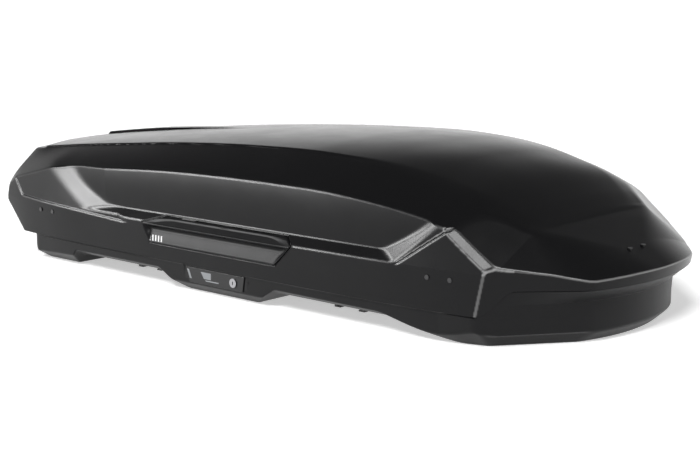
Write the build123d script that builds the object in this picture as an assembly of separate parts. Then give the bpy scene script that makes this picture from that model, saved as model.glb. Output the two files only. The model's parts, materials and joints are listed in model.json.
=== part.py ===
"""Roof cargo box: hinged lid, base tray with roof-bar clamps, central lock and latches.

Units are mm. +X is the nose, +Y the hinge side, +Z up, z = 0 under the bellies.
"""
import os
from math import cos, hypot, radians, sin
from build123d import *

WALL = 5.0                       # lid and base sheet thickness
EDGE_Z = 80.0                    # lower edge of the lid along the sides
LIP_Z = 142.0                    # lower edge of the lid round the nose
SHOULDER_Z = 76.0                # base flange that the lid closes on
RIM_Z = 118.0                    # top of the base rim inside the lid
FLOOR_Z = 31.0                   # underside of the tray over the roof bars
HINGE_Y, HINGE_Z = 451.0, 77.0   # lid hinge axis
HINGES = (-620.0, -60.0, 500.0)
STRIKERS = (-800.0, -420.0, 300.0, 700.0)
RIVETED = (-800.0, 700.0)        # strikers riveted through the lid's side
ROD_Y, ROD_Z = -408.0, 88.0      # latch rod, centre of its section
LOCK_X, LOCK_Z = 12.0, 52.0      # key cylinder axis
LOCK_THROW = 16.97               # latch rod travel for a quarter turn of the key
CLAMPS_X = (-486.0, 309.0)
CLAMP_Y = 300.0
SECTIONS = (-1100.0, -690.0, -270.0, 150.0, 560.0, 1100.0)   # of the base, end to end
SLOT_HALF = 95.0                 # half length of the slots the clamps travel in
BAR_W, BAR_H = 80.0, 22.0        # roof bar that the clamps take
SCREW_Z = 59.0
LIFTERS = {"rear": -850.0, "front": 760.0}
LIFTER_ARM = 190.0               # pivot to roller, and pivot to lid hinge
LIFTER_Z = 105.0
TRACK_ANGLE = 30.0               # of the track above the horizontal, lid closed
GRIP_Y, GRIP_Z = -438.5, 199.0   # handle hinge axis

# Lid outline by station: x, lower edge half width, belt, ledge, arc half width and
# height, roof crease half width and height, height on the centreline, belt height,
# ledge height, height of the lower edge.
LID = [
    (-1058, 402, 407, 406, 404, 180, 322, 184, 186, 168, 173, 160),
    (-1010, 418, 425, 420, 415, 232, 322, 322, 340, 183, 204, 120),
    (-965, 424, 431, 425, 421, 248, 324, 334, 350, 183, 204, 80),
    (-812, 440, 447, 438, 437, 292, 334, 352, 371, 183, 204, 80),
    (-515, 450, 455, 441, 443, 314, 335, 379, 398, 183, 204, 80),
    (-250, 452, 457, 441, 443, 330, 335, 398, 417, 183, 204, 80),
    (0, 453, 457, 441, 443, 335, 335, 411, 429, 183, 204, 80),
    (250, 451, 456, 440, 442, 335, 331, 413, 434, 183, 204, 80),
    (430, 448, 453, 437, 440, 326, 322, 402, 426, 183, 204, 80),
    (568, 443, 448, 433, 435, 312, 303, 383, 406, 183, 204, 80),
    (705, 433, 438, 426, 424, 266, 281, 335, 360, 183, 204, 80),
    (846, 407, 411, 409, 407, 203, 257, 265, 270, 170, 188, 80),
    (868, 383, 387, 385, 383, 199, 250, 254, 260, 168, 184, LIP_Z),
    (1002, 236, 238, 237, 236, 168, 150, 178, 190, 152, 158, LIP_Z),
    (1055, 90, 92, 91, 90, 158, 60, 163, 167, 148, 153, LIP_Z),
]
# Base outline at the shoulder, hinge side, from the rear to the nose.
BASE = [(-925, 395), (-880, 428), (-250, 445), (250, 445), (560, 436), (705, 426),
        (815, 398), (955, 222), (1002, 85)]
# Flared nose of the base below the lid's lip: outline at its foot and at its top.
FLARE_FOOT = [(780, 380), (826, 376), (952, 218), (998, 84)]
FLARE_TOP = [(780, 372), (868, 374), (996, 229), (1047, 87)]


def both_sides(half):
    """Outline of (x, y) points given along +Y, with its mirror image on -Y."""
    return half + [(x, -y) for x, y in reversed(half)]


def inset(outline, gap):
    """Closed (x, y) outline moved inwards by gap, corner for corner."""
    moved = []
    for i, (x, y) in enumerate(outline):
        ax, ay = outline[i - 1]
        bx, by = outline[(i + 1) % len(outline)]
        back = hypot(x - ax, y - ay)
        ahead = hypot(bx - x, by - y)
        nx, ny = (y - ay) / back, (ax - x) / back
        mx, my = (by - y) / ahead, (x - bx) / ahead
        scale = gap / (1 + nx * mx + ny * my)
        moved.append((x + (nx + mx) * scale, y + (ny + my) * scale))
    return moved


def stacked(outlines):
    """Solid through closed outlines of 3D points, with flat faces between them."""
    faces = [Face(Wire.make_polygon(outlines[0])), Face(Wire.make_polygon(outlines[-1]))]
    for low, high in zip(outlines, outlines[1:]):
        for i in range(len(low)):
            j = (i + 1) % len(low)
            a, b, c, d = (Vector(p) for p in (low[i], low[j], high[j], high[i]))
            normal = (c - a).cross(d - b).normalized()
            if abs((b - a).dot(normal)) < 1e-5 and abs((d - a).dot(normal)) < 1e-5:
                corners = [[a, b, c, d]]
            elif (a + b).Y > 0:
                corners = [[a, b, c], [a, c, d]]
            else:
                corners = [[a, b, d], [b, c, d]]
            faces += [Face(Wire.make_polygon(c)) for c in corners]
    solid = Solid(Shell(faces))
    return solid if solid.volume > 0 else Solid(solid.wrapped.Reversed())


def layers(*rows):
    """Solid through (z, outline) rows of horizontal outlines."""
    return stacked([[(x, y, z) for x, y in outline] for z, outline in rows])


def block(x0, x1, y0, y1, z0, z1):
    return Pos((x0 + x1) / 2, (y0 + y1) / 2, (z0 + z1) / 2) * Box(x1 - x0, y1 - y0, z1 - z0)


def rod(start, end, radius):
    """Cylinder between two points."""
    line = Vector(end) - Vector(start)
    return Plane(origin=start, z_dir=line) * Cylinder(
        radius, line.length, align=(Align.CENTER, Align.CENTER, Align.MIN)
    )


def prism_y(points, y0, y1):
    """Closed (x, z) outline extruded from y0 to y1."""
    face = Face(Wire.make_polygon([(x, y0, z) for x, z in points]))
    return extrude(face, amount=abs(y1 - y0), dir=(0, 1 if y1 > y0 else -1, 0))


def prism_x(points, x0, x1):
    """Closed (y, z) outline extruded from x0 to x1."""
    face = Face(Wire.make_polygon([(x0, y, z) for y, z in points]))
    return extrude(face, amount=x1 - x0, dir=(1, 0, 0))


def lid_row(x):
    """Lid outline values at any station, interpolated between the listed ones."""
    low = max(row for row in LID if row[0] <= x)
    high = min(row for row in LID if row[0] >= x)
    share = (x - low[0]) / (high[0] - low[0]) if high[0] > low[0] else 0
    return [a + (b - a) * share for a, b in zip(low[1:], high[1:])]


def lid_section(x, row, t):
    """Cross-section of the lid, drawn t inside its surface."""
    edge, belt, ledge, arc, arc_z, crease, crease_z, mid_z, belt_z, ledge_z, edge_z = row
    half = [
        (edge - t, edge_z),
        (belt - t, belt_z),
        (ledge - t, ledge_z - 0.3 * t),
        (arc - t, arc_z - 0.4 * t),
        (crease - 0.5 * t, crease_z - 0.9 * t),
    ]
    points = half + [(0, mid_z - t)] + [(-y, z) for y, z in reversed(half)]
    return [(x, y, z) for y, z in points]


def lid_inner():
    """Hollow of the lid, open downwards."""
    rows = [(-1052, lid_row(-1057)), (-1004, lid_row(-1009)), (-930, lid_row(-935))]
    rows += [(row[0], list(row[1:])) for row in LID[3:-3]]
    rows += [(863, list(LID[-3][1:])), (997, list(LID[-2][1:])), (1050, list(LID[-1][1:]))]
    for x, row in rows[2:]:
        row[-1] = EDGE_Z - 20
    rows[0][1][-1] = 166
    rows[0][1][-3] = 171
    rows[1][1][-1] = 122
    return stacked([lid_section(x, row, WALL) for x, row in rows])


def handle_outline(gap):
    """Pull handle seen from the side, (x, z), grown by gap."""
    return [
        (-341 - gap, 181),
        (-316 - gap, 125 - gap),
        (177 + gap, 124 - gap),
        (238 + gap, 181),
        (212 + gap, 203 + gap),
        (-248 - gap, 203 + gap),
    ]


def lid_outer():
    return stacked([lid_section(row[0], row[1:], 0) for row in LID])


def lid_shell():
    shell = lid_outer() - lid_inner()
    shell -= prism_y(handle_outline(1.5), -480, -425)
    for x in HINGES:
        shell -= block(x - 33, x + 33, 420, 470, 60, 84)
    shell -= rivet_holes()
    return shell


def slot_cuts():
    """Slots through the tray for the clamps to pass and slide in."""
    cuts = [
        block(x - SLOT_HALF, x + SLOT_HALF, s * CLAMP_Y - 13, s * CLAMP_Y + 13, 20, 60)
        for x in CLAMPS_X for s in (-1, 1)
    ]
    return Compound(children=cuts)


def belly(x0, x1, lean, top, side, foot):
    """Outline rows of a belly: half widths at its top, side crease and foot."""
    rows = [(60, x0 - lean, x1 + lean, top), (26, x0 - lean / 3, x1 + lean / 3, side), (0, x0, x1, foot)]
    return [(z, both_sides([(a, w), (b, w)])) for z, a, b, w in rows]


def base_outer():
    base = both_sides(BASE)
    solid = layers((FLOOR_Z, inset(base, 60)), (53, inset(base, 8)), (SHOULDER_Z, base))
    solid += layers((SHOULDER_Z - 1, inset(base, 5)), (RIM_Z, inset(base, 5)))
    solid += layers((SHOULDER_Z - 20, both_sides(FLARE_FOOT)), (112, both_sides(FLARE_FOOT)),
                    (139, both_sides(FLARE_TOP)))
    solid += layers(*belly(-872, -726, 56, 424, 422, 385))
    solid += layers(*belly(-205, 70, 100, 442, 438, 405))
    nose = [
        (0, both_sides([(722, 388), (796, 366), (918, 200), (966, 70)])),
        (26, both_sides([(600, 420), (812, 390), (944, 216), (990, 82)])),
        (60, both_sides([(540, 434), (822, 382), (950, 217), (996, 83)])),
    ]
    return solid + layers(*nose)


def base_inner():
    base = both_sides(BASE)
    hollow = layers((FLOOR_Z + 5, inset(base, 66)), (56, inset(base, 14)),
                    (SHOULDER_Z, inset(base, 9.5)), (160, inset(base, 9.5)))
    hollow += layers((118, inset(both_sides(FLARE_FOOT), 8)), (160, inset(both_sides(FLARE_TOP), 4)))
    hollow += layers((5, both_sides([(-866, 378), (-732, 378)])),
                     (62, both_sides([(-910, 418), (-680, 418)])))
    hollow += layers((5, both_sides([(-198, 398), (62, 398)])),
                     (62, both_sides([(-290, 434), (155, 434)])))
    hollow += layers((5, both_sides([(730, 380), (790, 362), (912, 196), (960, 66)])),
                     (62, both_sides([(560, 424), (816, 376), (944, 212), (990, 79)])))
    return hollow


def base_shell():
    shell = base_outer() - base_inner()
    shell -= slot_cuts()
    shell -= block(-184, 60, -450, -440, 26, SHOULDER_Z + 10)
    shell -= rod((LOCK_X, -460, LOCK_Z), (LOCK_X, -400, LOCK_Z), 10.5)
    for x in HINGES:
        shell -= block(x - 32, x + 32, 440.4, 460, 71.5, 84)
    return in_sections(shell)


def in_sections(shell):
    """The base as sections that meet face to face along its bellies and its middle."""
    solids = []
    for a, b in zip(SECTIONS, SECTIONS[1:]):
        for c, d in ((-500, 0), (0, 500)):
            solids += (shell & block(a, b, c, d, -10, 200)).solids()
    return Compound(children=solids)


def side_rivet_places():
    """Axis points (x, z) and side of the rivets through the lid's sides."""
    near = [(x + hole, -1, 0.161) for x in RIVETED for hole in (-31, 31)]
    far = [(x + hole, 1, 0.150) for x in HINGES for hole in (-22, 22)]
    return [(x, side, 1000 * z) for x, side, z in near + far]


def rivet_holes():
    holes = [
        rod((x, side * 400, z), (x, side * 470, z), 3.2) for x, side, z in side_rivet_places()
    ]
    holes += [rod((970, y, 160), (970, y, 260), 3.2) for y in (-31, 31)]
    return Compound(children=holes)


def side_rivets():
    """Domed rivets that hold the strikers and the hinges to the lid."""
    rivets = []
    for x, side, z in side_rivet_places():
        face = side * (lid_row(x)[1] + 0.4)
        shank = rod((x, face - side * 12, z), (x, face, z), 3)
        head = rod((x, face, z), (x, face + side * 1.8, z), 6)
        rivets.append(shank + head)
    return Compound(children=rivets)


def hood_rivets():
    rivets = []
    for y in (-31, 31):
        rivets.append(rod((970, y, 190), (970, y, 209.4), 3) + rod((970, y, 209.4), (970, y, 211.6), 6))
    return Compound(children=rivets)


def lid_beam(x):
    """Stiffener that follows the inside of the roof."""
    slab = lid_inner() & block(x - 22, x + 22, -372, 372, 240, 440)
    return slab - Pos(0, 0, -14) * lid_inner()


def swing_room():
    """Space round the handle's opening that the turning handle keeps out of."""
    room = lid_outer() & block(-360, 262, -475, -415, 110, 225)
    room -= prism_y(handle_outline(1), -480, -400)
    return room


def handle_flap():
    """Pull handle: sloping upper face, finger scoop under its ridge, knuckles on its axis."""
    outer = [(-457, 120), (-456, 128), (-444, 158), (-444, 169), (-458.5, 175), (-458.5, 179)]
    inner = [(-443, 201.5), (-438.4, 201.5), (-440, 186), (-440, 156), (-452, 127), (-452.5, 120)]
    flap = prism_x(outer + inner, -350, 250) & prism_y(handle_outline(0), -470, -430)
    flap -= rod((-300, GRIP_Y, GRIP_Z), (260, GRIP_Y, GRIP_Z), 6.4)
    room = swing_room()
    for turn in (4, 8, 12, 16, 20, 24):
        flap -= Pos(0, GRIP_Y, GRIP_Z) * Rot(turn, 0, 0) * Pos(0, -GRIP_Y, -GRIP_Z) * room
    for x in (-240, -30, 178):
        flap += rod((x, GRIP_Y, GRIP_Z), (x + 26, GRIP_Y, GRIP_Z), 5)
        flap += block(x, x + 26, -447.5, -441, 186, 198)
    return flap - rod((-300, GRIP_Y, GRIP_Z), (260, GRIP_Y, GRIP_Z), 2.56)


def handle_badge():
    """Plain slanted plate on the rear end of the handle's lower face."""
    strip = [(-453.08, 135.46), (-449.74, 143.81), (-450.53, 144.13), (-453.87, 135.78)]
    return prism_x(strip, -330, -250) & prism_y([(-318, 130), (-310, 150), (-266, 150), (-274, 130)], -470, -430)


def handle_cup():
    """Pocket behind the handle, with the ears of its hinge."""
    cup = prism_y(handle_outline(4), -470, -417) - prism_y(handle_outline(1.5), -480, -420)
    cup &= lid_inner()
    for x in (-213, -3, 170):
        cup += rod((x, GRIP_Y, GRIP_Z), (x + 7, GRIP_Y, GRIP_Z), 5)
        cup += block(x, x + 7, GRIP_Y, -418, 195, 203)
    return cup - rod((-300, GRIP_Y, GRIP_Z), (260, GRIP_Y, GRIP_Z), 2.53)


def handle_pin():
    return rod((-239, GRIP_Y, GRIP_Z), (203, GRIP_Y, GRIP_Z), 2.5)


def handle_spring():
    """Torsion spring round the handle pin, drawn as its sleeve."""
    ends = (-190, GRIP_Y, GRIP_Z), (-140, GRIP_Y, GRIP_Z)
    return rod(*ends, 4.6) - rod(*ends, 2.8)


def strikers():
    """Plates inside the lid with the pins that the latch hooks hold."""
    solids = []
    for x in STRIKERS:
        face = -(lid_row(x)[1] - WALL)
        plate = block(x - 40, x + 40, face - 2, face + 5, 131, 174) & lid_inner()
        pin = rod((x, face + 4, 140), (x, ROD_Y + 6, 140), 4) - plate
        solids += (plate - rivet_holes()).solids() + pin.solids()
    return Compound(children=solids)


def latch_rod():
    """Flat bar along the near side, with a fork for the key's cam."""
    bar = block(-850, 708, ROD_Y - 1.5, ROD_Y + 1.5, ROD_Z - 7, ROD_Z + 7)
    pin_x = LOCK_X - LOCK_THROW / 2
    bar += block(pin_x - 14, pin_x + 14, ROD_Y - 1.5, ROD_Y + 1.5, 54, 83)
    return bar - block(pin_x - 3.2, pin_x + 3.2, ROD_Y - 3, ROD_Y + 3, 50, 68)


def latch_hooks():
    """Hooks on the rod; their fingers slide over the striker pins."""
    hooks = []
    for x in STRIKERS:
        hooks.append(block(x - 44, x - 26, ROD_Y + 1.6, ROD_Y + 4.6, ROD_Z - 7, 152))
        hooks.append(block(x - 26, x - 10, ROD_Y + 1.6, ROD_Y + 4.6, 145.5, 152))
    return Compound(children=hooks)


def rod_guides():
    """Brackets on the base wall that the latch rod slides through."""
    guides = []
    for x in (-620, -250, 130, 560):
        guide = block(x - 12, x + 12, -436, ROD_Y + 6, 77, 100) & base_inner()
        guide -= block(x - 15, x + 15, ROD_Y - 1.8, ROD_Y + 1.8, ROD_Z - 7.3, ROD_Z + 7.3)
        guides += guide.solids()
    return Compound(children=guides)


def lock_plate():
    plate = prism_y([(-177, 73), (-162, 31), (46, 31), (53, 73)], -443.5, -440.2)
    return plate - rod((LOCK_X, -450, LOCK_Z), (LOCK_X, -430, LOCK_Z), 10.4)


def lock_housing():
    housing = block(-14, 38, -440, ROD_Y - 11, 33, 73) & base_inner()
    return housing - rod((LOCK_X, -450, LOCK_Z), (LOCK_X, -400, LOCK_Z), 10.06)


def key_cylinder():
    cylinder = rod((LOCK_X, -444.6, LOCK_Z), (LOCK_X, ROD_Y - 9.6, LOCK_Z), 10)
    cylinder += rod((LOCK_X, -446.6, LOCK_Z), (LOCK_X, -444.1, LOCK_Z), 12.5)
    return cylinder - block(LOCK_X - 1.3, LOCK_X + 1.3, -447, -440, LOCK_Z - 4.5, LOCK_Z + 4.5)


def lock_cam():
    """Disc on the key cylinder whose crank pin works in the rod's fork."""
    reach = LOCK_THROW / 2
    cam = rod((LOCK_X, ROD_Y - 9.5, LOCK_Z), (LOCK_X, ROD_Y - 6, LOCK_Z), 15)
    return cam + rod((LOCK_X - reach, ROD_Y - 7, LOCK_Z + reach), (LOCK_X - reach, ROD_Y + 3, LOCK_Z + reach), 2.5)


def hinge_base(x):
    """Bracket on the base's far side with the middle knuckle."""
    leaf = block(x - 30, x + 30, 420, 449, 48, 71.2) - base_outer()
    leaf = leaf.solids().sort_by(SortBy.VOLUME)[-1]
    leaf += block(x - 10, x + 10, 447.3, 451, 70, 77)
    leaf += rod((x - 10, HINGE_Y, HINGE_Z), (x + 10, HINGE_Y, HINGE_Z), 4)
    return leaf - rod((x - 40, HINGE_Y, HINGE_Z), (x + 40, HINGE_Y, HINGE_Z), 2.03)


def hinge_lid(x):
    """Leaf inside the lid, passing under its edge to the two outer knuckles."""
    face = lid_row(x)[0] - WALL
    leaf = block(x - 30, x + 30, face - 3.5, 470, 83, 172) & lid_inner()
    for a, b in ((x - 30, x - 10.4), (x + 10.4, x + 30)):
        leaf += block(a, b, face - 3.5, HINGE_Y, 78.6, 83.4)
        leaf += rod((a, HINGE_Y, HINGE_Z), (b, HINGE_Y, HINGE_Z), 4)
    leaf -= rod((x - 40, HINGE_Y, HINGE_Z), (x + 40, HINGE_Y, HINGE_Z), 2.06)
    return leaf - rivet_holes()


def hinge_pins():
    pins = [rod((x - 29.5, HINGE_Y, HINGE_Z), (x + 29.5, HINGE_Y, HINGE_Z), 2) for x in HINGES]
    return Compound(children=pins)


def along_track(distance, off):
    """Point (y, z) at a distance from the lid hinge along the closed track."""
    angle = radians(TRACK_ANGLE)
    return (
        HINGE_Y - distance * cos(angle) - off * sin(angle),
        HINGE_Z + distance * sin(angle) - off * cos(angle),
    )


def lifter_pivot():
    """Base pivot (y, z) of a lifter arm, as far from the lid hinge as the arm is long."""
    rise = LIFTER_Z - HINGE_Z
    return HINGE_Y - (LIFTER_ARM ** 2 - rise ** 2) ** 0.5, LIFTER_Z


def roller_place():
    """Roller (y, z) on the track, lid closed."""
    y, z = lifter_pivot()
    dy, dz = (HINGE_Y - y) / LIFTER_ARM, (z - HINGE_Z) / LIFTER_ARM
    turn = dy * cos(radians(TRACK_ANGLE)) + dz * sin(radians(TRACK_ANGLE))
    return along_track(2 * LIFTER_ARM * turn, 0)


def lifter_track(x):
    """Gusset inside the lid with the straight track of the lifter's roller."""
    outline = [along_track(90, 14), along_track(372, 14), along_track(372, -14),
               (215, 420), (470, 420), (470, 170)]
    plate = prism_x(outline, x - 2, x + 1) & lid_inner()
    slot = [along_track(110, 4.3), along_track(362, 4.3), along_track(362, -4.3), along_track(110, -4.3)]
    return plate - prism_x(slot, x - 5, x + 5)


def lifter_arm(x):
    y, z = lifter_pivot()
    ry, rz = roller_place()
    uy, uz = (ry - y) / LIFTER_ARM * 10, (rz - z) / LIFTER_ARM * 10
    bar = [(y - uz, z + uy), (y + uz, z - uy), (ry + uz, rz - uy), (ry - uz, rz + uy)]
    arm = prism_x(bar, x + 2, x + 6)
    arm += rod((x + 2, y, z), (x + 6, y, z), 14) + rod((x + 2, ry, rz), (x + 6, ry, rz), 10)
    arm += rod((x - 6, ry, rz), (x + 3, ry, rz), 4)
    return arm - rod((x, y, z), (x + 10, y, z), 5.05)


def lifter_bracket(x):
    """Upright on the tray floor that carries the lifter's pivot."""
    y, z = lifter_pivot()
    bracket = prism_x([(y - 30, 0), (y + 30, 0), (y + 14, z + 14), (y - 14, z + 14)], x + 6.5, x + 10)
    bracket += block(x + 6.5, x + 34, y - 30, y + 30, 0, 9)
    bracket &= base_inner()
    return bracket - rod((x, y, z), (x + 20, y, z), 5.03)


def lifter_pin(x):
    y, z = lifter_pivot()
    return rod((x - 0.5, y, z), (x + 12, y, z), 5) + rod((x - 0.5, y, z), (x + 1.5, y, z), 8)


def at_clamps(draw):
    """One solid at each of the four clamp places."""
    return Compound(children=[draw(x, s * CLAMP_Y) for x in CLAMPS_X for s in (-1, 1)])


def clamp_plate(x, y):
    """Steel plate on the tray floor round a clamp's slot."""
    plate = block(x - 112, x + 112, y - 34, y + 34, FLOOR_Z + 5.05, FLOOR_Z + 7)
    return plate - block(x - SLOT_HALF, x + SLOT_HALF, y - 13, y + 13, 30, 50)


def clamp_frame(x, y):
    """Sliding carrier with the fixed jaw and the bearings of the screw."""
    low, half = FLOOR_Z + 7.3, BAR_W / 2
    frame = block(x - 60, x + 64, y - 24, y + 24, low, low + 4)
    frame -= block(x + 24, x + half + 16, y - 12.6, y + 12.6, 30, 50)
    frame += block(x - half - 12, x - half - 4, y - 11.5, y + 11.5, 4, low + 1)
    frame += block(x - half - 12, x - half + 8, y - 11.5, y + 11.5, 3, 7)
    for a, b in ((x - 56, x - 44), (x + 58, x + 64)):
        frame += block(a, b, y - 14, y + 14, low + 3, SCREW_Z + 11)
    return frame - rod((x - 70, y, SCREW_Z), (x + 70, y, SCREW_Z), 4.05)


def clamp_jaw(x, y):
    """Moving jaw, driven by the screw through its nut."""
    half = BAR_W / 2
    jaw = block(x + half + 4, x + half + 12, y - 11.5, y + 11.5, 4, SCREW_Z + 9)
    jaw += block(x + half - 8, x + half + 12, y - 11.5, y + 11.5, 3, 7)
    jaw += block(x + half - 6, x + half + 12, y - 11.5, y + 11.5, SCREW_Z - 11, SCREW_Z + 9)
    return jaw - rod((x, y, SCREW_Z), (x + 70, y, SCREW_Z), 4.08)


def clamp_screw(x, y):
    return rod((x - 82, y, SCREW_Z), (x + 66, y, SCREW_Z), 4)


def clamp_knob(x, y):
    """Lobed knob on the end of the screw."""
    start, end = (x - 88, y, SCREW_Z), (x - 61, y, SCREW_Z)
    knob = rod(start, end, 16)
    for k in range(5):
        ly, lz = y + 13 * sin(radians(72 * k)), SCREW_Z + 13 * cos(radians(72 * k))
        knob += rod((x - 88, ly, lz), (x - 66, ly, lz), 6)
    return knob - rod((x - 83, y, SCREW_Z), (x - 50, y, SCREW_Z), 4)


def edge_seal():
    """Rubber strip on the base's flange, under the edge of the lid."""
    base = both_sides(BASE)
    ring = layers((SHOULDER_Z, inset(base, 0.6)), (SHOULDER_Z + 2.4, inset(base, 0.6)))
    ring -= layers((SHOULDER_Z - 1, inset(base, 4.6)), (SHOULDER_Z + 4, inset(base, 4.6)))
    ring &= block(-1000, 770, -500, 500, 70, 90)
    ring -= block(-186, 62, -460, -430, 70, 90)
    for x in HINGES:
        ring -= block(x - 36, x + 36, 420, 460, 70, 90)
    return Compound(children=ring.solids())


def pieces():
    """Every node of the box, by name."""
    nodes = {
        "lid_shell": lid_shell(),
        "base_shell": base_shell(),
        "edge_seal": edge_seal(),
        "side_rivets": side_rivets(),
        "hood_rivets": hood_rivets(),
        "lid_beam_rear": lid_beam(-640),
        "lid_beam_middle": lid_beam(-80),
        "lid_beam_front": lid_beam(470),
        "handle_flap": handle_flap(),
        "handle_badge": handle_badge(),
        "handle_cup": handle_cup(),
        "handle_pin": handle_pin(),
        "handle_spring": handle_spring(),
        "strikers": strikers(),
        "latch_rod": latch_rod(),
        "latch_hooks": latch_hooks(),
        "rod_guides": rod_guides(),
        "lock_plate": lock_plate(),
        "lock_housing": lock_housing(),
        "key_cylinder": key_cylinder(),
        "lock_cam": lock_cam(),
        "hinge_pins": hinge_pins(),
        "clamp_plates": at_clamps(clamp_plate),
    }
    for end, x in zip(("rear", "middle", "front"), HINGES):
        nodes[f"hinge_base_{end}"] = hinge_base(x)
        nodes[f"hinge_lid_{end}"] = hinge_lid(x)
    for end, x in LIFTERS.items():
        nodes[f"lifter_track_{end}"] = lifter_track(x)
        nodes[f"lifter_arm_{end}"] = lifter_arm(x)
        nodes[f"lifter_bracket_{end}"] = lifter_bracket(x)
        nodes[f"lifter_pin_{end}"] = lifter_pin(x)
    for end, x in zip(("rear", "front"), CLAMPS_X):
        for side, y in (("right", -CLAMP_Y), ("left", CLAMP_Y)):
            for draw in (clamp_frame, clamp_jaw, clamp_screw, clamp_knob):
                nodes[f"{draw.__name__}_{end}_{side}"] = draw(x, y)
    return nodes


if __name__ == "__main__":
    os.makedirs("parts", exist_ok=True)
    for name, shape in pieces().items():
        export_step(shape, f"parts/{name}.step")
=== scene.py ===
"""Looks of the roof cargo box: moulded lid and base skins, hardware, finishes, studio."""
import json
import math

import bpy
import numpy as np
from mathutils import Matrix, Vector


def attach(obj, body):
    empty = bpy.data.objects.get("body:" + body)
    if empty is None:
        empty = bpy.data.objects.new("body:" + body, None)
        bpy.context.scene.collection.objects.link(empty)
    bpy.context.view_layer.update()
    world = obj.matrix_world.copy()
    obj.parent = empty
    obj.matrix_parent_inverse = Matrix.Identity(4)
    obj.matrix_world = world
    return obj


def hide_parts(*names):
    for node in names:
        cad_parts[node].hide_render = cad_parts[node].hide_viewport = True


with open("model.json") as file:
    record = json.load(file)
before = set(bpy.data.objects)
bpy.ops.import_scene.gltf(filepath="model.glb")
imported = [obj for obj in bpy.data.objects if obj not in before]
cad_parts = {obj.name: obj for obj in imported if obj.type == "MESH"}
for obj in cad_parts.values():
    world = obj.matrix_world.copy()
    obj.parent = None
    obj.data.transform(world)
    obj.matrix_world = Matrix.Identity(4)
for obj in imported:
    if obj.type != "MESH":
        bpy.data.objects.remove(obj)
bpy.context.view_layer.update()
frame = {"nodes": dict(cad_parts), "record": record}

MM = 0.001
HINGE_X = (-620, -60, 500)
LID_EDGE, LIP = 80, 142                    # heights of the lid's lower edge, along the sides and at the nose
SHOULDER = 76                              # height of the base's outer edge
NOSE_X = 449                               # centre of the nose's arc in plan
CREST = (846, 257, 265)                    # where roof crease and hood meet: x, half width, height
FRONT_CORNER = (835, 410, 203)             # top of the upright edge beside the nose
REAR_CORNER = (-950, 335, 336)             # rear end of the roof crease
REAR_FACET = ((-776, 292), (-600, 185))    # edges of the side panels: x and height of two points
FRONT_FACET = ((568, 183), (700, 289))
FRONT_SEAM = ((580, 181), (712, 268))
QUAD_FOOT = ((-942, 192), (-656, 179))
QUAD_REAR = ((-942, 192), (-987, 239))
# rear and middle bellies: start, end, lean of the end faces, half width at the foot and 26 above it
BELLIES = ((-872, -726, 0.93, 385, 422), (-205, 70, 1.67, 405, 438))
SLOTS_X, SLOT_Y = (-486, 309), 300         # centres of the slots that the clamps travel in
REACH = 1200.0                             # longer than any ray needs to leave the box


# ---------------------------------------------------------------- profile curves (mm)
def curve(*stations):
    """Smooth function through (x, value) stations."""
    xs = np.array([s[0] for s in stations], float)
    ys = np.array([s[1] for s in stations], float)
    slopes = np.gradient(ys, xs)

    def at(x):
        x = np.clip(x, xs[0], xs[-1])
        i = np.clip(np.searchsorted(xs, x) - 1, 0, len(xs) - 2)
        h = xs[i + 1] - xs[i]
        t = (x - xs[i]) / h
        return ((1 + 2 * t) * (1 - t) ** 2 * ys[i] + t * (1 - t) ** 2 * h * slopes[i]
                + t * t * (3 - 2 * t) * ys[i + 1] + t * t * (t - 1) * h * slopes[i + 1])
    return at


edge_w = curve((-1058, 404), (-965, 424), (-812, 440), (-515, 450), (-250, 452), (0, 453), (250, 451),
               (430, 448), (568, 443), (705, 433), (846, 410), (1060, 350))
belt_w = curve((-1058, 416), (-965, 431), (-812, 447), (-515, 455), (-250, 457), (0, 457), (250, 456),
               (430, 453), (568, 448), (705, 438), (846, 416), (1060, 352))
ledge_w = curve((-1058, 400), (-812, 434), (-515, 441), (0, 442), (250, 441), (430, 438), (568, 433),
                (705, 423), (846, 400), (1060, 350))
arc_w = curve((-1058, 405), (-987, 428), (-812, 436), (-515, 443), (0, 444), (250, 442), (430, 440),
              (568, 435), (705, 425), (846, 405), (1060, 360))
arc_z = curve((-1058, 216), (-987, 239), (-812, 291), (-694, 302), (-515, 315), (-263, 330), (0, 336),
              (182, 336), (360, 332), (430, 327), (568, 312), (640, 300), (700, 287), (760, 271), (900, 225))
crease_w = curve((-1058, 335), (-950, 335), (0, 335), (260, 334), (430, 323), (590, 309), (720, 290),
                 (846, 257), (920, 236))
crease_z = curve((-1058, 326), (-957, 336), (-789, 354), (-559, 375), (-346, 393), (-109, 407), (3, 411),
                 (259, 413), (450, 400), (596, 371), (720, 335), (780, 303), (846, 265), (920, 236))
mid_z = curve((-1058, 340), (-1018, 345), (-596, 391), (-162, 421), (100, 432), (220, 434), (400, 428),
              (560, 404), (705, 357), (780, 314), (850, 270), (930, 245))
foot_w = curve((540, 400), (722, 388), (796, 366), (1000, 360))


def smax(a, b, k):
    """Greater of two fields with a rounded edge about k wide."""
    h = np.clip(0.5 + 0.5 * (a - b) / k, 0, 1)
    return b * (1 - h) + a * h + k * h * (1 - h)


def smin(a, b, k):
    return -smax(-a, -b, k)


def line_side(x, z, start, end):
    """Distance from the line start-end in the x-z plane, positive to its left."""
    dx, dz = end[0] - start[0], end[1] - start[1]
    return ((z - start[1]) * dx - (x - start[0]) * dz) / math.hypot(dx, dz)


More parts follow.
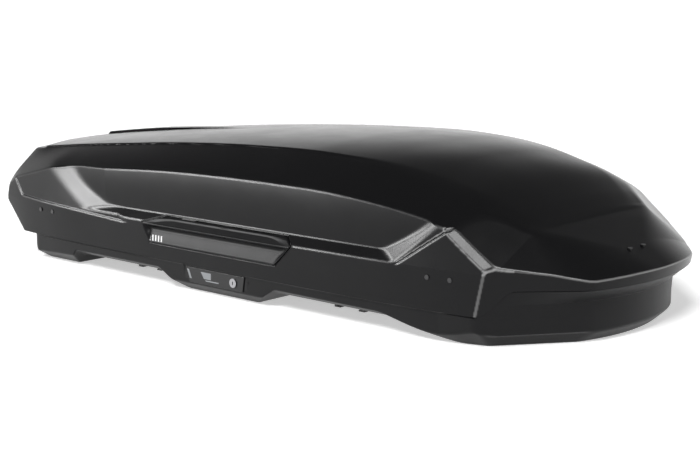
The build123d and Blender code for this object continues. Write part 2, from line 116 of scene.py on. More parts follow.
def side_width(x, z):
    """Half width of the lid's side at any height, with its recessed panels."""
    edge, belt = edge_w(x), belt_w(x)
    low = edge + (belt - edge) * (z - LID_EDGE) / 103
    low = np.where(z > 183, belt - 0.055 * (z - 183), low)
    seam = line_side(x, z, *FRONT_SEAM)
    low = low - 2.2 * np.exp(-((seam - 2) / 3.0) ** 2) * (x > 560) * np.clip((z - 178) / 8, 0, 1)
    slope = line_side(x, z, *REAR_FACET)
    floor = low - 3.5
    quad = smax(floor, low - line_side(x, z, *QUAD_FOOT), 2.5)
    quad = smax(quad, low + line_side(x, z, *QUAD_REAR), 2.5)
    quad = quad + 0.3 * np.clip(slope - 75, 0, None)
    height = (z - 204) / (arc_z(x) - 204)
    lens = ledge_w(x) - 5 + (arc_w(x) - ledge_w(x) + 5) * height + 12 * (height - height ** 2)
    lens = lens - 8 * np.clip((-520 - x) / 180, 0, 1)
    ledge = belt - 0.72 * (z - 183)
    rear = floor - 0.16 * slope
    front = low - 0.36 * line_side(x, z, *FRONT_FACET)
    pocket = smax(smax(lens, ledge, 3), smax(rear, front, 3), 4)
    return smin(smin(low, quad, 2.5), pocket, 3)


def lid_field(p):
    """Signed field of the lid's outer skin, negative inside."""
    x, z = p[:, 0], p[:, 2]
    a = np.sqrt(p[:, 1] ** 2 + 4)
    crease, top, middle = crease_w(x), crease_z(x), mid_z(x)
    roof = z - (middle - (middle - top) * (a / crease) ** 2.3)
    spine = 8 * np.clip((-340 - x) / 420, 0, 1) * np.clip((34 - a) / 5, 0, 1)
    roof = (roof - spine) * 0.94
    rim = smax(a - crease, x - 850, 12)
    rim = smax(rim, 0.391 * (a - 335) - 0.921 * (x + 950), 12)
    rim = np.maximum(rim, -x - 1024)
    cap = smax(roof, rim * 0.9, 6)
    fade = np.clip((x - 200) / 360, 0, 1)
    fade = fade * fade * (3 - 2 * fade)
    across, up = arc_w(x) - crease, np.maximum(top - 5 * (1 - fade) - arc_z(x), 25)
    panel = ((a - arc_w(x)) * up + (z - arc_z(x)) * across) / np.hypot(across, up)
    panel = panel + 3 * ((np.clip((z - arc_z(x)) / up, 0, 1) - 0.5) ** 2 * 4 - 1)
    px, pa, pz = CREST
    ahead, behind = np.clip(x - px, 0, None), np.clip(px - x, 0, None)
    wing = (z - pz + 0.691 * (x - px) + 0.4775 * (a - pa) - 0.12 * behind) / 1.306
    centre = (z - pz - 3 + 0.49 * (x - px) - 0.5 * behind) / 1.11
    hood = smax(wing, centre, 8 + 47 * np.clip(ahead / 110, 0, 1))
    qx, qa, qz = REAR_CORNER
    corner = -0.228 * (x - qx) + 0.651 * (a - qa) + 0.725 * (z - qz)
    upper = smax(roof + 5 * (1 - fade), panel, 3 + 6 * fade)
    shoulder = smax(upper, smax(hood, corner, 3), 5)
    body = smin(cap, shoulder, 2.5) * (1 - fade) + shoulder * fade
    sides = a - side_width(x, z)
    bevel = (hood + sides) * 0.7071 + 9 - 30 * np.clip((712 - x) / 30, 0, 1)
    body = smax(smax(body, sides, 5), np.where(x > 640, bevel, -99), 2)
    back = x - 13 * (a / 420) ** 2
    body = smax(body, -0.97 * (back + 1058) + 0.243 * (z - 172), 9)
    body = smax(body, -0.682 * (back + 1058) - 0.732 * (z - 166), 7)
    nose = np.hypot(np.maximum(x - NOSE_X, 0), a) - 599 + 0.19 * (170 - z)
    cx, ca, cz = FRONT_CORNER
    angled = 0.695 * (x - cx) + 0.697 * (a - ca) - 0.176 * (z - cz)
    return smax(body, smax(nose, angled, 7), 3 + 4 * np.clip((z - 185) / 20, 0, 1))


def gradient(field, p):
    g = np.zeros_like(p)
    for i in range(3):
        step = np.zeros(3)
        step[i] = 0.25
        g[:, i] = (field(p + step) - field(p - step)) * 2
    return g


def polygon_distance(points, corners):
    """Nearest point on a closed outline, for each 2D point, and whether it is inside."""
    best = np.full(len(points), 1e9)
    near = points.copy()
    inside = np.zeros(len(points), bool)
    for i, (ax, az) in enumerate(corners):
        bx, bz = corners[(i + 1) % len(corners)]
        d = np.array([bx - ax, bz - az])
        t = np.clip(((points - [ax, az]) @ d) / (d @ d), 0, 1)
        q = np.array([ax, az]) + t[:, None] * d
        dist = np.hypot(*(points - q).T)
        near[dist < best] = q[dist < best]
        best = np.minimum(best, dist)
        with np.errstate(divide="ignore", invalid="ignore"):
            cross = ax + (points[:, 1] - az) * (bx - ax) / (bz - az)
        inside ^= ((az > points[:, 1]) != (bz > points[:, 1])) & (points[:, 0] < cross)
    return near, inside


# the handle's opening in the lid's side: x and height of its corners
OPENING = [(-344, 181.5), (-317.5, 123.2), (178, 122.2), (241.5, 181.5), (215.5, 206.5), (-256, 206.5)]


def grown(outline, gap):
    """Closed outline moved outwards by gap."""
    out = []
    n = len(outline)
    area = sum(outline[i - 1][0] * outline[i][1] - outline[i][0] * outline[i - 1][1] for i in range(n))
    gap = gap if area > 0 else -gap
    for i, (x, z) in enumerate(outline):
        ax, az = outline[i - 1]
        bx, bz = outline[(i + 1) % n]
        back, ahead = math.hypot(x - ax, z - az), math.hypot(bx - x, bz - z)
        nx, nz, mx, mz = (z - az) / back, (ax - x) / back, (bz - z) / ahead, (x - bx) / ahead
        k = gap / (1 + nx * mx + nz * mz)
        out.append((x + (nx + mx) * k, z + (nz + mz) * k))
    return out


def edge_highlight_mask(field, p):
    """How sharp and convex the skin is at each point, 0 to 1: the mask for a lighter colour painted on as a
    highlight along edges.
    """
    bend = -6 * field(p)
    for i in range(3):
        step = np.zeros(3)
        step[i] = 3.5
        bend += field(p + step) + field(p - step)
    away = (abs(p[:, 1]) > crease_w(p[:, 0]) + 14) | (p[:, 0] > 890)
    facing = gradient(field, p)
    _, beside, above = abs(facing).T
    # the upright corner beside the nose also gets the painted highlight, for the reflection along that edge
    corner = (facing[:, 0] > 0.18) & (beside > 0.45) & (above < 0.35) & (p[:, 0] < 870)
    return np.maximum(np.clip((bend - 0.9) / 2.2, 0, 1) * away, np.clip((bend - 0.6) / 0.4, 0, 1) * corner)


def mesh_object(name, verts, faces, normals=None):
    mesh = bpy.data.meshes.new(name)
    mesh.from_pydata([tuple(v) for v in verts], [], faces)
    mesh.polygons.foreach_set("use_smooth", [True] * len(mesh.polygons))
    if normals is not None:
        mesh.normals_split_custom_set_from_vertices([tuple(n) for n in normals])
    mesh.update()
    obj = bpy.data.objects.new(name, mesh)
    bpy.context.collection.objects.link(obj)
    return obj


# ---------------------------------------------------------------- moulded skins
def cast(field, origin, aim, low, high, rounds):
    """Distance along each ray to the field's zero, by halving between low and high."""
    for _ in range(rounds):
        mid = (low + high) / 2
        out = field(origin + aim * mid[:, None]) > 0
        high = np.where(out, mid, high)
        low = np.where(out, low, mid)
    return (low + high) / 2


def ring_plan(rear, front, counts):
    """Half-planes round the box in order: spine point x, and direction in plan."""
    along, ahead, behind = [int(c * (1)) for c in counts]
    line = np.linspace(rear, front, along)
    nose, tail = np.linspace(-90, 90, ahead)[1:-1], np.linspace(90, 270, behind)[1:-1]
    spine = np.concatenate([line, np.full(len(nose), front), line[::-1], np.full(len(tail), rear)])
    turn = np.concatenate([np.full(along, -90.0), nose, np.full(along, 90.0), tail])
    return spine, np.radians(turn)


def outline_at(field, spine, turn, height):
    """Where the skin is on each half-plane at one height."""
    count = len(spine)
    aim = np.stack([np.cos(turn), np.sin(turn), np.zeros(count)], 1)
    start = np.stack([spine, np.zeros(count), np.full(count, height)], 1)
    return start + aim * cast(field, start, aim, np.zeros(count), np.full(count, REACH), 22)[:, None]


def ramp_up(x, start, run):
    """Smooth step from 0 to 1 along x."""
    t = np.clip((x - start) / run, 0, 1)
    return t * t * (3 - 2 * t)


def lid_floor(spine, turn):
    """Height of the lid's lower edge on each half-plane."""
    hit = outline_at(lid_field, spine, turn, 120.0)
    low = LID_EDGE + (LIP - LID_EDGE) * ramp_up(hit[:, 0], 803, 62)
    for x in HINGE_X:
        low = np.where((abs(hit[:, 0] - x) < 34) & (hit[:, 1] > 0), 84.5, low)
    return low


def ring_points(field, spine, turn, level, upward, columns, coarse):
    """Outer skin as rings of points, from the level of the rim to the middle of the top or bottom."""
    rings = len(spine)
    start = np.stack([spine, np.zeros(rings), level], 1)

    def shoot(rise, near, far, rounds):
        count = rise.shape[1]
        aim = np.stack([np.cos(turn)[:, None] * np.cos(rise), np.sin(turn)[:, None] * np.cos(rise),
                        upward * np.sin(rise)], -1).reshape(-1, 3)
        origin = np.repeat(start, count, 0)
        reach = cast(field, origin, aim, near.ravel(), far.ravel(), rounds)
        return (origin + aim * reach[:, None]).reshape(rings, count, 3), reach.reshape(rings, count)

    rise = np.tile(np.radians(90) * np.linspace(0, 1, 260) ** 0.85, (rings, 1))
    points, reach = shoot(rise, np.zeros(rise.shape), np.full(rise.shape, REACH), 14)
    step = np.linalg.norm(np.diff(points, axis=1), axis=2)
    steep = abs(np.diff(points[:, :, 2], axis=1)) / np.maximum(step, 1e-6)
    weight = 1 / (2.6 + coarse * np.clip((0.55 - steep) / 0.25, 0, 1))
    kernel = np.hanning(25) / np.hanning(25).sum()
    weight = np.stack([np.convolve(np.pad(v, 12, "edge"), kernel, "valid") for v in weight])
    total = np.concatenate([np.zeros((rings, 1)), np.cumsum(weight * step, 1)], 1)
    want = np.linspace(0, 1, columns)
    chosen = np.stack([np.interp(want * t[-1], t, r) for t, r in zip(total, rise)])
    guess = np.stack([np.interp(c, r, d) for c, r, d in zip(chosen, rise, reach)])
    points, _ = shoot(chosen, np.maximum(guess - 24, 0), guess + 24, 15)
    return points


def lid_rings():
    spine, turn = ring_plan(-600.0, 600.0, (400, 520, 440))
    return ring_points(lid_field, spine, turn, lid_floor(spine, turn), 1, 200, 4)


def base_field(p):
    """Signed field of the base's outer skin, negative inside."""
    x, z, a = p[:, 0], p[:, 2], abs(p[:, 1])
    channel = smax(31 - z, 0.39 * (a - 385) - 0.92 * (z - 31), 6)
    bellies = channel
    for x0, x1, lean, foot, side in BELLIES:
        k = math.hypot(1, lean)
        belly = smax((x - x1 - lean * z) / k, (x0 - lean * z - x) / k, 5)
        belly = smax(belly, -z, 5)
        run = side - foot
        belly = smax(belly, (26 * (a - foot) - run * z) / math.hypot(26, run), 4)
        bellies = smin(bellies, belly, 5)
    chin = smax(-z, (26 * (a - foot_w(x)) - 30 * z) / math.hypot(26, 30), 4)
    chin = smax(chin, (722 - x - 4.0 * z) / 4.1, 8)
    chin = smax(chin, 0.62 * (x - 796) + 0.48 * (a - 366) - 0.62 * z, 4)
    radius = np.hypot(np.maximum(x - NOSE_X, 0), a)
    chin = smax(chin, (radius - 519 - 1.1 * z) * 0.67, 4)
    bellies = smin(bellies, chin, 5)
    inset = 8 - 6.5 * np.clip((x - 690) / 90, 0, 1)
    sides = a - (edge_w(x) - inset - 0.12 * (SHOULDER - z))
    near = (p[:, 1] < 0) & (abs(x + 62) < 122) & (z > 26)
    sides = np.where(near, np.maximum(sides, a - 440), sides)
    flare = np.clip((z - 106) / 33, 0, 1)
    nose = radius - 551 - 38 * flare
    cx, ca, cz = FRONT_CORNER
    along = 0.697 * (x - cx) - 0.695 * (a - ca)
    angled = 0.695 * (x - cx) + 0.697 * (a - ca) - 0.176 * (np.maximum(z, 72) - cz)
    angled = angled + 1.5 + 0.145 * np.clip(along - 12, 0, 240) * (1 - flare)
    body = smax(smax(bellies, sides, 4), smax(nose, angled, 8), 6)
    rear = smax(-(x + 925) + 0.2 * (SHOULDER - z), -0.59 * (x + 925) + 0.8 * (a - 397), 6)
    return smax(body, rear, 6)


def base_rings():
    spine, turn = ring_plan(-760.0, 600.0, (420, 420, 260))
    hit = outline_at(base_field, spine, turn, float(SHOULDER))
    level = SHOULDER + (LIP - 1.5 - SHOULDER) * ramp_up(hit[:, 0], 790, 40)
    return ring_points(base_field, spine, turn, level, -1, 120, 9)


def moulding(name, outer, field, thick, skip, holes):
    """Sheet moulding: fine outer skin, coarser inner skin and the rim between them.

    Each hole is the axis it goes through, 1 for the near side or 2 for the floor, and its outline.
    """
    rings, cols = outer.shape[:2]
    index = np.arange(rings * cols).reshape(rings, cols)
    ahead = np.roll(index, -1, 0)
    quads = np.stack([index[:, :-1], ahead[:, :-1], ahead[:, 1:], index[:, 1:]], -1).reshape(-1, 4)
    if outer[0, 0, 2] > outer[0, -1, 2]:
        quads = quads[:, ::-1]
    p = outer.reshape(-1, 3).copy()
    rims = []
    for axis, outline in holes:
        view = [0, 3 - axis]
        centre = p[quads].mean(1)
        _, inside = polygon_distance(centre[:, view], outline)
        gone = inside & (centre[:, axis] < 60)
        touched = np.intersect1d(np.unique(quads[gone]), np.unique(quads[~gone]))
        quads = quads[~gone]
        near, _ = polygon_distance(p[touched][:, view], outline)
        for corner in outline:
            near[np.argmin(np.hypot(*(near - corner).T))] = corner
        p[np.ix_(touched, view)] = near
        start = p[touched].copy()
        start[:, axis] = 0 if axis == 1 else 70
        aim = np.tile([0.0, -1.0, 0.0] if axis == 1 else [0.0, 0.0, -1.0], (len(touched), 1))
        near, far = (380.0, 480.0) if axis == 1 else (5.0, 80.0)
        reach = cast(field, start, aim, np.full(len(touched), near), np.full(len(touched), far), 18)
        p[touched] = start + aim * reach[:, None]
        rims.append(set(touched.tolist()))
    normal = gradient(field, p)
    normal /= np.linalg.norm(normal, axis=1)[:, None]
    faces, verts, normals = quads.tolist(), [p], [normal]
    count = len(p)
    for rim in rims:
        sides = [pair for q in faces[:len(quads)] for pair in zip(q, q[1:] + q[:1])]
        loop = [(a, b) for a, b in sides if a in rim and b in rim]
        edges = set(loop)
        edge = [(a, b) for a, b in loop if (b, a) not in edges]
        ids = {v: count + i for i, v in enumerate(sorted({v for e in edge for v in e}))}
        order = sorted(ids, key=ids.get)
        verts.append(p[order] - normal[order] * (thick + 1))
        normals.append(normal[order])
        faces += [(b, a, ids[a], ids[b]) for a, b in edge]
        count += len(order)
    keep = np.unique(np.append(np.arange(0, cols - 1, skip), cols - 1))
    rows = np.arange(0, rings, skip)
    lower, bent = outer[rows][:, keep], gradient(field, outer[rows][:, keep].reshape(-1, 3))
    bent /= np.linalg.norm(bent, axis=1)[:, None]
    inner = lower.reshape(-1, 3) - bent * thick
    inner = inner.reshape(lower.shape)
    inner[:, 0, 2] = lower[:, 0, 2]
    coarse = np.concatenate([lower[:, :1], inner], 1)
    grid = count + np.arange(coarse.shape[0] * coarse.shape[1]).reshape(coarse.shape[:2])
    turned = np.roll(grid, -1, 0)
    back = np.stack([grid[:, :-1], grid[:, 1:], turned[:, 1:], turned[:, :-1]], -1).reshape(-1, 4)
    if outer[0, 0, 2] > outer[0, -1, 2]:
        back = back[:, ::-1]
    q = coarse.reshape(-1, 3)
    for axis, outline in holes:
        centre = q[back - count].mean(1)
        _, inside = polygon_distance(centre[:, [0, 3 - axis]], grown(outline, 4))
        back = back[~(inside & (centre[:, axis] < 60))]
    down = np.sign(outer[0, 0, 2] - outer[0, -1, 2])
    at_rim = np.tile([[0, 0, down]], (len(rows), 1))[:, None]
    face_in = np.concatenate([at_rim, -bent.reshape(lower.shape)], 1)
    verts.append(q)
    normals.append(face_in.reshape(-1, 3))
    faces += back.tolist()
    # painted highlight along sharp edges, kept as a point attribute for the finish
    painted_edge_highlight = np.zeros(sum(len(v) for v in verts))
    painted_edge_highlight[:len(p)] = edge_highlight_mask(field, p)
    obj = mesh_object(name, np.concatenate(verts) * MM, faces, np.concatenate(normals))
    obj.data.attributes.new("painted_edge_highlight", "FLOAT", "POINT").data.foreach_set("value", painted_edge_highlight)
    return obj


# ---------------------------------------------------------------- finishes
def material(name, colour, rough, metal=0.0, grain=900.0, depth=0.02, wear=0.06, spec=0.5, edge_highlight_grey=0.0):
    """Principled finish with uneven gloss, a fine surface grain and, if asked, a painted highlight: lighter
    base colour along sharp convex edges.
    """
    m = bpy.data.materials.new(name)
    m.use_nodes = True
    nodes, links = m.node_tree.nodes, m.node_tree.links
    shader = nodes["Principled BSDF"]
    shader.inputs["Base Color"].default_value = (*colour, 1)
    shader.inputs["Metallic"].default_value = metal
    shader.inputs["Specular IOR Level"].default_value = spec
    where = nodes.new("ShaderNodeTexCoord")
    fine, broad = nodes.new("ShaderNodeTexNoise"), nodes.new("ShaderNodeTexNoise")
    fine.inputs["Scale"].default_value = grain
    fine.inputs["Detail"].default_value = 3
    broad.inputs["Scale"].default_value = 9
    broad.inputs["Detail"].default_value = 8
    broad.inputs["Roughness"].default_value = 0.65
    bump = nodes.new("ShaderNodeBump")
    bump.inputs["Strength"].default_value = depth * 10
    bump.inputs["Distance"].default_value = 0.0002
    span = nodes.new("ShaderNodeMapRange")
    span.inputs["From Min"].default_value = 0.3
    span.inputs["From Max"].default_value = 0.7
    span.inputs["To Min"].default_value = rough - wear / 2
    span.inputs["To Max"].default_value = rough + wear / 2
    for noise in (fine, broad):
        links.new(where.outputs["Object"], noise.inputs["Vector"])
    links.new(fine.outputs["Fac"], bump.inputs["Height"])
    links.new(bump.outputs["Normal"], shader.inputs["Normal"])
    links.new(broad.outputs["Fac"], span.inputs["Value"])
    links.new(span.outputs["Result"], shader.inputs["Roughness"])
    # painted highlight: base colour mixed towards a light grey along sharp edges, in place of their
    # reflection
    if edge_highlight_grey:
        edge = nodes.new("ShaderNodeAttribute")
        edge.attribute_name = "painted_edge_highlight"
        mix = nodes.new("ShaderNodeMix")
        mix.data_type = "RGBA"
        mix.inputs["A"].default_value = (*colour, 1)
        mix.inputs["B"].default_value = (edge_highlight_grey, edge_highlight_grey, edge_highlight_grey, 1)
        links.new(edge.outputs["Fac"], mix.inputs["Factor"])
        links.new(mix.outputs["Result"], shader.inputs["Base Color"])
    return m


FINISH = {
    # the gloss shell gets a painted highlight along its sharp edges
    "shell_black": material("gloss_shell", (0.005, 0.005, 0.0055), 0.25, grain=1500, depth=0.006,
                            wear=0.04, spec=0.17, edge_highlight_grey=0.22),
    "base_black": material("grained_base", (0.006, 0.006, 0.0065), 0.38, grain=1500, depth=0.03,
                           wear=0.06, spec=0.15),
    "rubber_black": material("rubber", (0.012, 0.012, 0.012), 0.75, grain=1800, depth=0.04),
    "rivet_black": material("rivet", (0.02, 0.02, 0.021), 0.30, grain=1200, spec=0.35),
    "beam_aluminium": material("mill_aluminium", (0.62, 0.63, 0.65), 0.38, 1.0, grain=600, wear=0.12),
    "trim_black": material("satin_trim", (0.007, 0.007, 0.0075), 0.34, grain=1600, depth=0.015,
                           wear=0.06, spec=0.07),
    "badge_light": material("light_mark", (0.36, 0.36, 0.36), 0.35, grain=1500),
    "symbol_grey": material("symbol_grey", (0.16, 0.17, 0.18), 0.4, grain=1500),
    "steel_zinc": material("zinc_steel", (0.40, 0.40, 0.39), 0.33, 1.0, grain=900, wear=0.14),
    "steel_black": material("coated_steel", (0.012, 0.012, 0.012), 0.48, grain=1100, depth=0.05, wear=0.1),
    "plate_black": material("plate", (0.010, 0.010, 0.0105), 0.33, grain=1600, depth=0.02, spec=0.25),
    "lock_chrome": material("lock_chrome", (0.30, 0.30, 0.31), 0.25, 1.0, grain=900, wear=0.06),
    "knob_black": material("knob", (0.02, 0.02, 0.022), 0.45, grain=1300, depth=0.05),
}


def finish(obj, name):
    obj.data.materials.clear()
    obj.data.materials.append(FINISH[name])
    return obj


slots = {row["node"]: row["material_slot"] for row in frame["record"]["subparts"]}
SOFTENED = {"lock_plate": 1.0, "side_rivets": 1.5, "hood_rivets": 1.5, "strikers": 0.8,
            "latch_rod": 0.5, "latch_hooks": 0.5, "rod_guides": 1.0, "lock_housing": 1.0, "handle_cup": 0.4,
            "clamp_plates": 0.5, "key_cylinder": 0.4}
for node, obj in frame["nodes"].items():
    finish(obj, slots[node])
    width = SOFTENED.get(node, 0.8 if node.startswith(("clamp", "hinge", "lifter")) else 0)
    if width:
        weld = obj.modifiers.new("weld", "WELD")
        weld.merge_threshold = 0.00002
        bevel = obj.modifiers.new("soft_edges", "BEVEL")
        bevel.width = width * MM
        bevel.segments = 3
        bevel.limit_method = "ANGLE"
        bevel.angle_limit = math.radians(24)
        bevel.harden_normals = True

# ---------------------------------------------------------------- lid and base
lid = moulding("lid_moulding", lid_rings(), lid_field, 4.0, 4, [(1, OPENING)])
finish(lid, "shell_black")
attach(lid, "lid")
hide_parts("lid_shell")


clamp_slots = [(2, [(x - 98, y - 15), (x + 98, y - 15), (x + 98, y + 15), (x - 98, y + 15)])
               for x in SLOTS_X for y in (-SLOT_Y, SLOT_Y)]
base = moulding("base_moulding", base_rings(), base_field, 4.0, 3, clamp_slots)
finish(base, "base_black")
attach(base, "base")
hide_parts("base_shell")


def base_rim():
    """Upright rim inside the base's shoulder, which the lid closes over."""
    spine, turn = ring_plan(-760.0, 600.0, (200, 120, 120))
    hit = outline_at(base_field, spine, turn, SHOULDER - 1.0)
    out = gradient(base_field, hit)[:, :2]
    out /= np.linalg.norm(out, axis=1)[:, None]
    section = [(5, 66), (5, 116.6), (5.3, 117.6), (6.2, 118), (8.3, 118), (9.2, 117.6), (9.5, 116.6),
               (9.5, 58), (4, 58)]
    n, m = len(hit), len(section)
    verts = np.array([[(*(h[:2] - o * d), z) for d, z in section] for h, o in zip(hit, out)]).reshape(-1, 3)
    faces = [(i * m + k, (i + 1) % n * m + k, (i + 1) % n * m + k + 1, i * m + k + 1)
             for i in range(n) for k in range(m - 1)]
    return mesh_object("base_rim", verts * MM, faces)


rim = base_rim()
finish(rim, "base_black")
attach(rim, "base")


def side_y(x, z):
    """Half width of the lid's outer skin at places (x, z) on its side."""
    start = np.stack([x, np.zeros(len(x)), z], 1)
    aim = np.tile([0.0, 1.0, 0.0], (len(x), 1))
    return cast(lid_field, start, aim, np.full(len(x), 380.0), np.full(len(x), 480.0), 18)


def tube(name, points, normals, radius, body, slot):
    """Thin closed bead along a loop of points, laid on a surface."""
    n, ring = len(points), 8
    ahead = np.roll(points, -1, 0) - np.roll(points, 1, 0)
    ahead /= np.linalg.norm(ahead, axis=1)[:, None]
    across = np.cross(ahead, normals)
    turn = np.linspace(0, 2 * math.pi, ring, endpoint=False)
    verts = (points[:, None] + radius * (np.cos(turn)[None, :, None] * normals[:, None]
             + np.sin(turn)[None, :, None] * across[:, None])).reshape(-1, 3)
    around = [(i * ring, (i + 1) % n * ring, k, (k + 1) % ring) for i in range(n) for k in range(ring)]
    faces = [(here + k, here + turned, there + turned, there + k) for here, there, k, turned in around]
    obj = mesh_object(name, verts * MM, faces)
    finish(obj, slot)
    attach(obj, body)
    return obj


def outline_points(outline, step):
    """Points every step along a closed outline."""
    points = []
    for i, (ax, az) in enumerate(outline):
        bx, bz = outline[(i + 1) % len(outline)]
        count = max(2, int(math.hypot(bx - ax, bz - az) / step))
        points += [(ax + (bx - ax) * k / count, az + (bz - az) * k / count) for k in range(count)]
    return np.array(points)


# bead round the handle's opening
loop = outline_points(grown(OPENING, 1.2), 4)
seat = np.stack([loop[:, 0], -side_y(loop[:, 0], loop[:, 1]), loop[:, 1]], 1)
facing = gradient(lid_field, seat)
facing /= np.linalg.norm(facing, axis=1)[:, None]
tube("handle_bead", seat - facing * 0.5, facing, 1.5, "lid", "shell_black")

# ---------------------------------------------------------------- handle
# the handle's face from its lower edge to its upper edge: height and y
HANDLE_ROWS = [(123.8, -451), (124.0, -455.4), (124.8, -456.9), (126.5, -457.4), (134, -455.2),
               (146, -450.8), (154, -447.6), (160, -445.6), (166, -445.0), (170, -446.8), (173, -452),
               (175, -457), (176.5, -459.1), (178, -459.6), (179.5, -459.1), (182, -455.6), (187, -451.4),
               (193, -448.4), (197.5, -447.1), (199.4, -446.4), (200.6, -444.8), (201.6, -443), (202.3, -441)]
ENDS = [0, 0.3, 1.0, 2.2, 4.5, 9, 16, 26, 40, 58, 80]


def handle_ends(z):
    """Where the handle starts and ends along x at a height."""
    z = min(max(z, 124), 203)
    if z > 181:
        t = (z - 181) / 22
        return -341 + 93 * t, 238 - 26 * t
    t = (z - 124) / 57
    return -316 - 25 * t, 177 + 61 * t


def handle_depth(z, y, d):
    """Depth of the handle's face: its hollows fade out towards the ends."""
    if 126.5 < z < 176:
        flat = -457.4 - 1.7 * (z - 126.5) / 49.5
        fade = min(d / 14, 1)
    elif 179.5 < z < 199:
        flat = -459.1 + 12.9 * (z - 179.5) / 22
        fade = min(d / 75, 1)
    else:
        flat, fade = y, 1
    fade = fade * fade * (3 - 2 * fade)
    y = flat + (y - flat) * fade
    return y + 2.4 * (1 - math.sqrt(1 - (1 - min(d / 2.2, 1)) ** 2)) + (4 if d == 0 else 0)


def handle_face():
    verts, width = [], 0
    for z, y in HANDLE_ROWS:
        x0, x1 = handle_ends(z)
        inner = list(np.linspace(x0 + 100, x1 - 100, 24))
        row = [(x0 + d, d) for d in ENDS] + [(x, 100) for x in inner] + [(x1 - d, d) for d in reversed(ENDS)]
        verts += [(x, handle_depth(z, y, d), z) for x, d in row]
        width = len(row)
    faces = [(r * width + c, r * width + c + 1, (r + 1) * width + c + 1, (r + 1) * width + c)
             for r in range(len(HANDLE_ROWS) - 1) for c in range(width - 1)]
    return mesh_object("handle_face", np.array(verts) * MM, faces)


handle = handle_face()
finish(handle, "trim_black")
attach(handle, "handle")


def plates(name, outlines, depth, thick, body, slot):
    """Thin raised marks: (x, z) outlines with softened rims, standing off a face at depth(z)."""
    verts, faces = [], []
    for outline in outlines:
        n, base = len(outline), len(verts)
        for gap, lift in ((0, 0.0), (0, thick * 0.7), (-0.35, thick)):
            verts += [(x, depth(z) - lift, z) for x, z in (grown(outline, gap) if gap else outline)]
        for k in range(2):
            faces += [(base + k * n + i, base + k * n + (i + 1) % n, base + (k + 1) * n + (i + 1) % n,
                       base + (k + 1) * n + i) for i in range(n)]
        faces.append(tuple(base + 2 * n + i for i in range(n)))
    obj = mesh_object(name, np.array(verts) * MM, faces)
    obj.data.polygons.foreach_set("use_smooth", [False] * len(obj.data.polygons))
    finish(obj, slot)
    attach(obj, body)
    return obj


def handle_y(z):
    return float(np.interp(z, [r[0] for r in HANDLE_ROWS], [r[1] for r in HANDLE_ROWS]))


bars = [[(x + 5, 131), (x + 10.5, 131), (x + 5.5, 147), (x, 147)] for x in (-318, -306, -294, -282, -270)]
mark = plates("handle_mark", bars, handle_y, 0.6, "handle", "badge_light")
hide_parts("handle_badge")
symbols = [[(-172, 67), (-164, 67), (-153, 42), (-161, 42)], [(-116, 65), (-76, 65), (-76, 47), (-104, 47)],
           [(-98, 44), (-46, 44), (-46, 41), (-96, 41)]]
symbol = plates("lock_symbols", symbols, lambda z: -443.5, 0.25, "base", "badge_light")
finish(symbol, "symbol_grey")

# ---------------------------------------------------------------- studio
def plane(name, size, place):
    mesh = bpy.data.meshes.new(name)
    s, t = size[0] / 2, size[1] / 2
    mesh.from_pydata([(-s, -t, 0), (s, -t, 0), (s, t, 0), (-s, t, 0)], [], [(0, 1, 2, 3)])
    obj = bpy.data.objects.new(name, mesh)
    bpy.context.collection.objects.link(obj)
    obj.location = place
    return obj


floor = plane("floor", (160, 160), (0, 0, 0))
pale = bpy.data.materials.new("pale_floor")
pale.use_nodes = True
surface = pale.node_tree.nodes["Principled BSDF"].inputs
surface["Base Color"].default_value = (0.88, 0.88, 0.88, 1)
surface["Roughness"].default_value = 0.9
surface["Specular IOR Level"].default_value = 0.0
surface["Emission Color"].default_value = (1, 1, 1, 1)
surface["Emission Strength"].default_value = 0.5
floor.data.materials.append(pale)


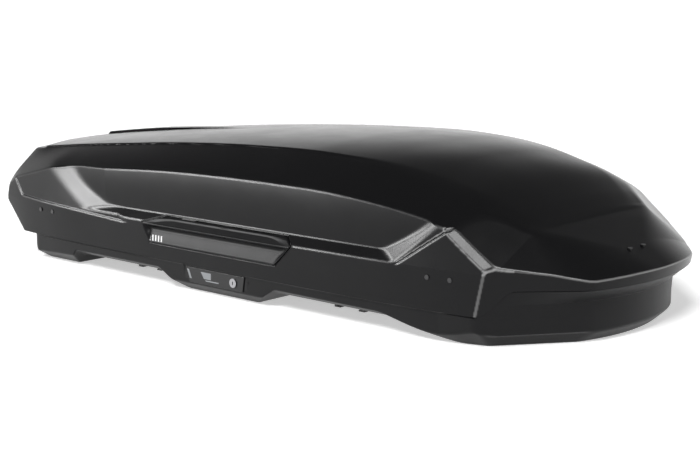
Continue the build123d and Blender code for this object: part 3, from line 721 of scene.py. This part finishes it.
def lamp(name, place, aim, size, power):
    """Soft lamp that makes highlights on the box but doesn't light the floor."""
    data = bpy.data.lights.new(name, "AREA")
    data.shape = "RECTANGLE"
    data.size, data.size_y = size
    data.energy = power
    obj = bpy.data.objects.new(name, data)
    obj.visible_diffuse = obj.visible_camera = False
    bpy.context.collection.objects.link(obj)
    obj.location = place
    obj.rotation_euler = (Vector(aim) - Vector(place)).to_track_quat("-Z", "Y").to_euler()
    return obj


world = bpy.data.worlds.new("studio")
bpy.context.scene.world = world
world.use_nodes = True
tree = world.node_tree
where = tree.nodes.new("ShaderNodeTexCoord")
split = tree.nodes.new("ShaderNodeSeparateXYZ")
ramp = tree.nodes.new("ShaderNodeValToRGB")
tree.links.new(where.outputs["Generated"], split.inputs["Vector"])
tree.links.new(split.outputs["Z"], ramp.inputs["Fac"])
tree.links.new(ramp.outputs["Color"], tree.nodes["Background"].inputs["Color"])
horizon, dome = ramp.color_ramp.elements
horizon.position, horizon.color = 0.0, (2, 2, 2, 1)
dome.position, dome.color = 0.42, (0.12, 0.12, 0.12, 1)
ramp.color_ramp.elements.new(0.1).color = (1.3, 1.3, 1.3, 1)
tree.nodes["Background"].inputs["Strength"].default_value = 1.0

sun = bpy.data.lights.new("key", "SUN")
sun.energy = 2.6
sun.angle = math.radians(18)
key = bpy.data.objects.new("key", sun)
bpy.context.collection.objects.link(key)
key.rotation_euler = Vector((0.24, -0.68, 0.69)).to_track_quat("Z", "Y").to_euler()
lamp("edge_light", (-5.8, -5.3, 2.85), (0, -0.4, 0.2), (3.8, 1.2), 520)
lamp("facet_light", (-6.0, -6.25, 0.8), (-0.6, -0.4, 0.2), (2.4, 1.4), 420)
lamp("nose_light", (5.6, -0.8, 6.9), (0.9, 0, 0.2), (2.6, 2.2), 700)
bpy.context.scene.view_settings.view_transform = "Standard"

camera_data = bpy.data.cameras.new("camera")
camera_data.lens = 72
camera = bpy.data.objects.new("camera", camera_data)
bpy.context.collection.objects.link(camera)
az, el = math.radians(41.62), math.radians(10.26)
target = Vector((0, 0.0394, 0.1201))
back = Vector((math.sin(az) * math.cos(el), -math.cos(az) * math.cos(el), math.sin(el)))
distance = 4.093
camera.location = target + back * distance
camera.rotation_euler = (-back).to_track_quat("-Z", "Y").to_euler()
bpy.context.scene.camera = camera
